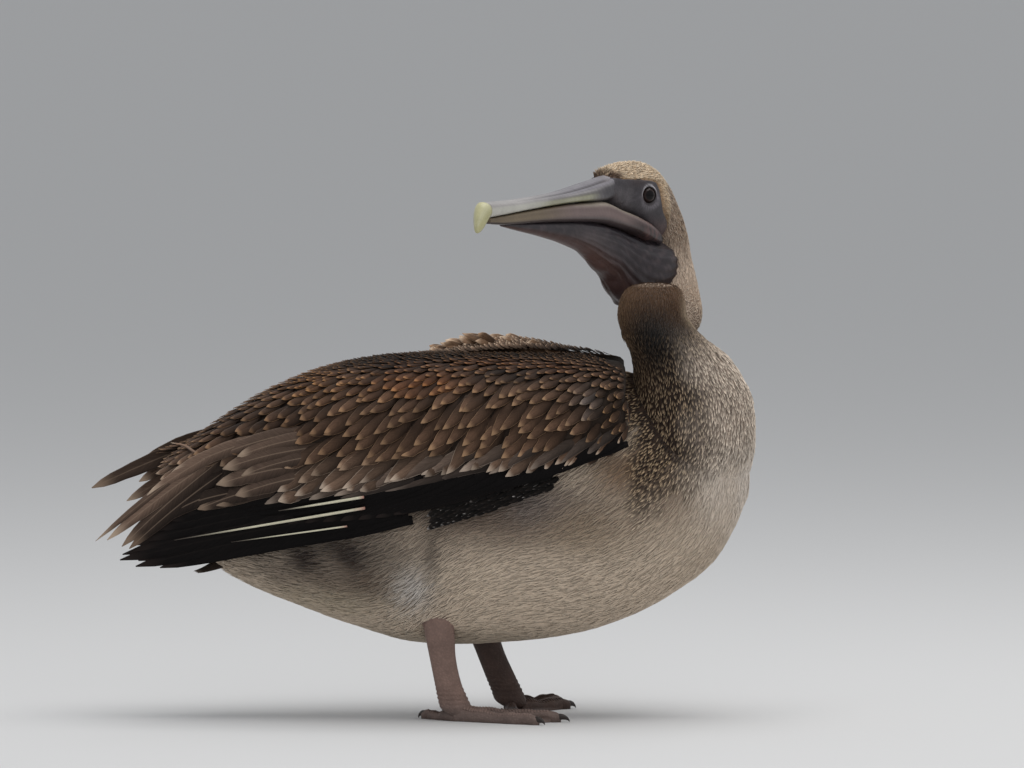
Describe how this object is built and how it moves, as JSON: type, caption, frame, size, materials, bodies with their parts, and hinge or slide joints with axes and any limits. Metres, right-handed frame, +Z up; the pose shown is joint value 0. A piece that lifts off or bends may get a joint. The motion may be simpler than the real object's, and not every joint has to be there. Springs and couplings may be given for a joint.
{
  "type": "brown pelican",
  "caption": "Life-size immature brown pelican standing at rest on webbed feet, wings folded, head turned back over the right shoulder with the bill closed.",
  "frame": {"origin": "on the floor, under the middle of the whole bird's box", "axes": "+X towards the breast, +Y towards the bird's left side, +Z up; the bill points mostly along -Y"},
  "size_m": [0.6219, 0.4165, 0.5276],
  "materials": {
    "belly_feathers": "soft off-white belly feathers, greyer on the flank, matte",
    "neck_feathers": "short brown feathers with pale streaked tips, matte",
    "pale_feathers": "short buff and grey-brown head feathers, matte",
    "wing_feathers": "dark brown wing coverts with paler edges, low sheen",
    "quills": "blackish flight and tail feathers with pale shafts, low sheen",
    "bill_horn": "grey horn, yellow-green along the cutting edge",
    "nail_horn": "pale yellow horn, semi-gloss",
    "pouch_skin": "dark slate skin, reddish brown below, finely wrinkled",
    "leg_skin": "brown-grey scaled skin",
    "claw_horn": "dark horn",
    "eye": "dark brown iris under a clear wet surface"
  },
  "bodies": {
    "root": {"trunk": "belly_feathers", "neck_lower": "neck_feathers", "neck_upper": "pale_feathers", "head": "pale_feathers", "wing_right": "wing_feathers", "wing_left": "wing_feathers", "tertials_right": "wing_feathers", "tertials_left": "wing_feathers", "flight_feathers_right": "quills", "flight_feathers_left": "quills", "tail": "quills", "bill_upper": "bill_horn", "bill_lower": "bill_horn", "bill_nail": "nail_horn", "pouch": "pouch_skin", "leg_right": "leg_skin", "leg_left": "leg_skin", "foot_right": "leg_skin", "foot_left": "leg_skin", "claw_inner_right": "claw_horn", "claw_middle_right": "claw_horn", "claw_outer_right": "claw_horn", "claw_hind_right": "claw_horn", "claw_inner_left": "claw_horn", "claw_middle_left": "claw_horn", "claw_outer_left": "claw_horn", "claw_hind_left": "claw_horn", "eye_left": "eye", "eye_right": "eye"}
  },
  "joints": []
}
